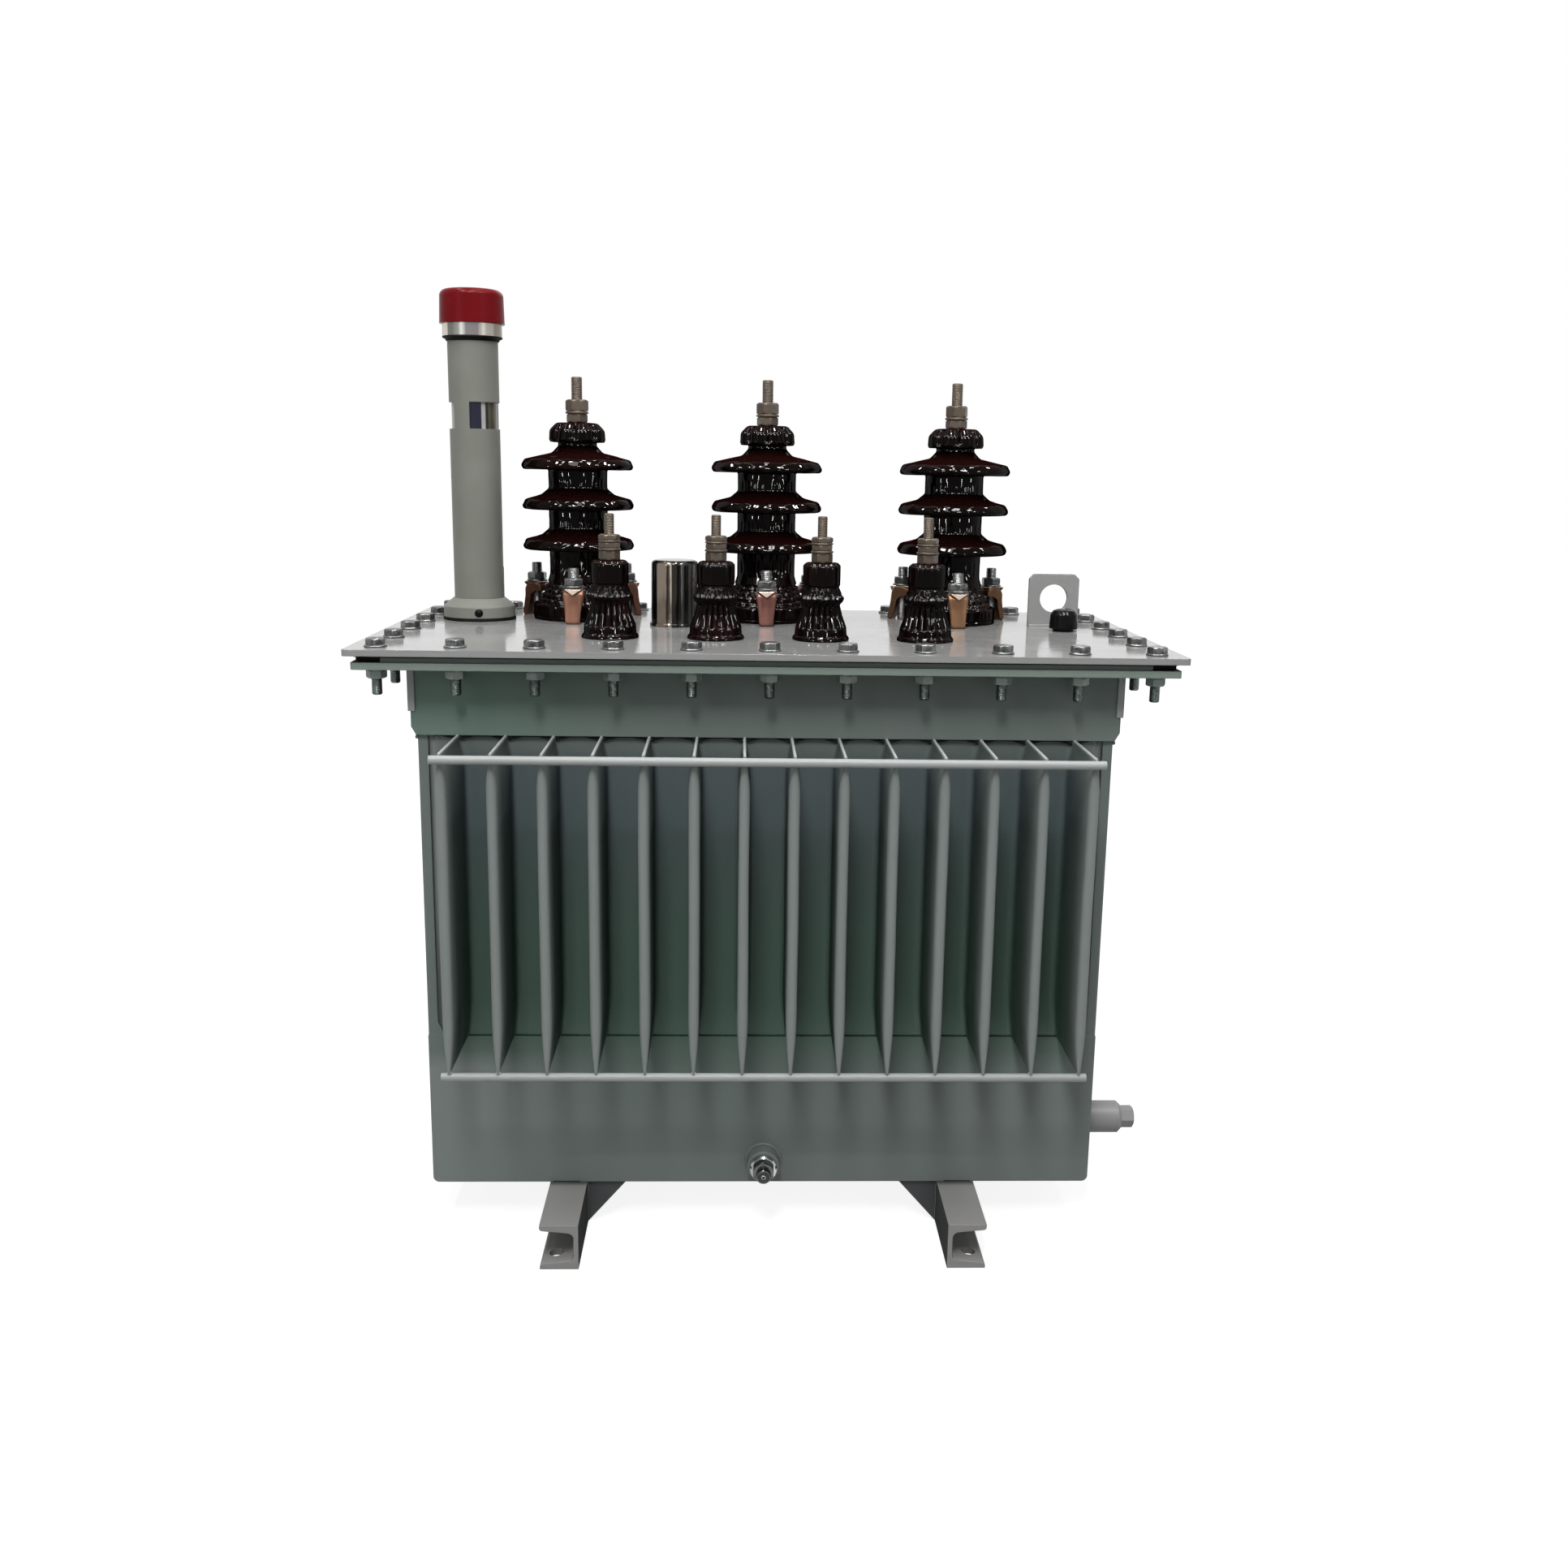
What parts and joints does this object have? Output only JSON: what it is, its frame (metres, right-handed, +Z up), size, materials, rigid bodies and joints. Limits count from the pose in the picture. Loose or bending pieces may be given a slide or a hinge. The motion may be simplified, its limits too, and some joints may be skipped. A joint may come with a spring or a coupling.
{
  "type": "distribution transformer",
  "caption": "Oil-immersed transformer with corrugated cooling walls, bolted cover, porcelain bushings, sight-tube oil gauge and channel feet; changes supply voltage.",
  "frame": {"origin": "on the ground, in the middle of the four foundation-bolt holes of the channel feet", "axes": "+Z up, +X to the right along the front (the side with the low-voltage bushings and drain plug), +Y to the back"},
  "size_m": [0.777, 0.5226, 0.928],
  "materials": {
    "tank_paint": "semi-gloss grey-green paint",
    "cover_paint": "high-gloss light grey paint",
    "seal_rubber": "matt black",
    "dark_porcelain": "glossy dark brown glaze",
    "terminal_metal": "dull tinned metal",
    "clamp_metal": "bare cast copper alloy, satin",
    "polished_cup": "polished",
    "gauge_body": "satin warm grey",
    "gauge_inside": "glossy navy",
    "gauge_metal": "brushed silver",
    "red_plastic": "glossy dark red",
    "black_plastic": "glossy black",
    "plug_steel": "bright steel"
  },
  "bodies": {
    "root": {"bottom_pan": "tank_paint", "front_lower_plate": "tank_paint", "back_lower_plate": "tank_paint", "left_side_wall": "tank_paint", "right_side_wall": "tank_paint", "front_corrugated_wall": "tank_paint", "back_corrugated_wall": "tank_paint", "front_fin_rods": "tank_paint", "back_fin_rods": "tank_paint", "tank_collar": "tank_paint", "tank_rim": "tank_paint", "stop_bars": "tank_paint", "cover_gasket": "seal_rubber", "cover_plate": "cover_paint", "left_foot": "tank_paint", "right_foot": "tank_paint", "sampling_pipe": "tank_paint", "drain_boss": "tank_paint", "drain_plug": "plug_steel", "tap_changer_cap": "polished_cup", "gauge_base": "gauge_body", "gauge_tube": "gauge_body", "gauge_glass": "gauge_inside", "gauge_ring": "gauge_metal", "gauge_cap": "red_plastic", "left_lifting_lug": "tank_paint", "right_lifting_lug": "tank_paint", "thermometer_cap": "black_plastic", "hv_bushing_a": "dark_porcelain", "hv_terminal_a": "terminal_metal", "hv_clamps_a": "clamp_metal", "hv_bushing_b": "dark_porcelain", "hv_terminal_b": "terminal_metal", "hv_clamps_b": "clamp_metal", "hv_bushing_c": "dark_porcelain", "hv_terminal_c": "terminal_metal", "hv_clamps_c": "clamp_metal", "lv_bushing_0": "dark_porcelain", "lv_terminal_0": "terminal_metal", "lv_bushing_a": "dark_porcelain", "lv_terminal_a": "terminal_metal", "lv_bushing_b": "dark_porcelain", "lv_terminal_b": "terminal_metal", "lv_bushing_c": "dark_porcelain", "lv_terminal_c": "terminal_metal"}
  },
  "joints": []
}
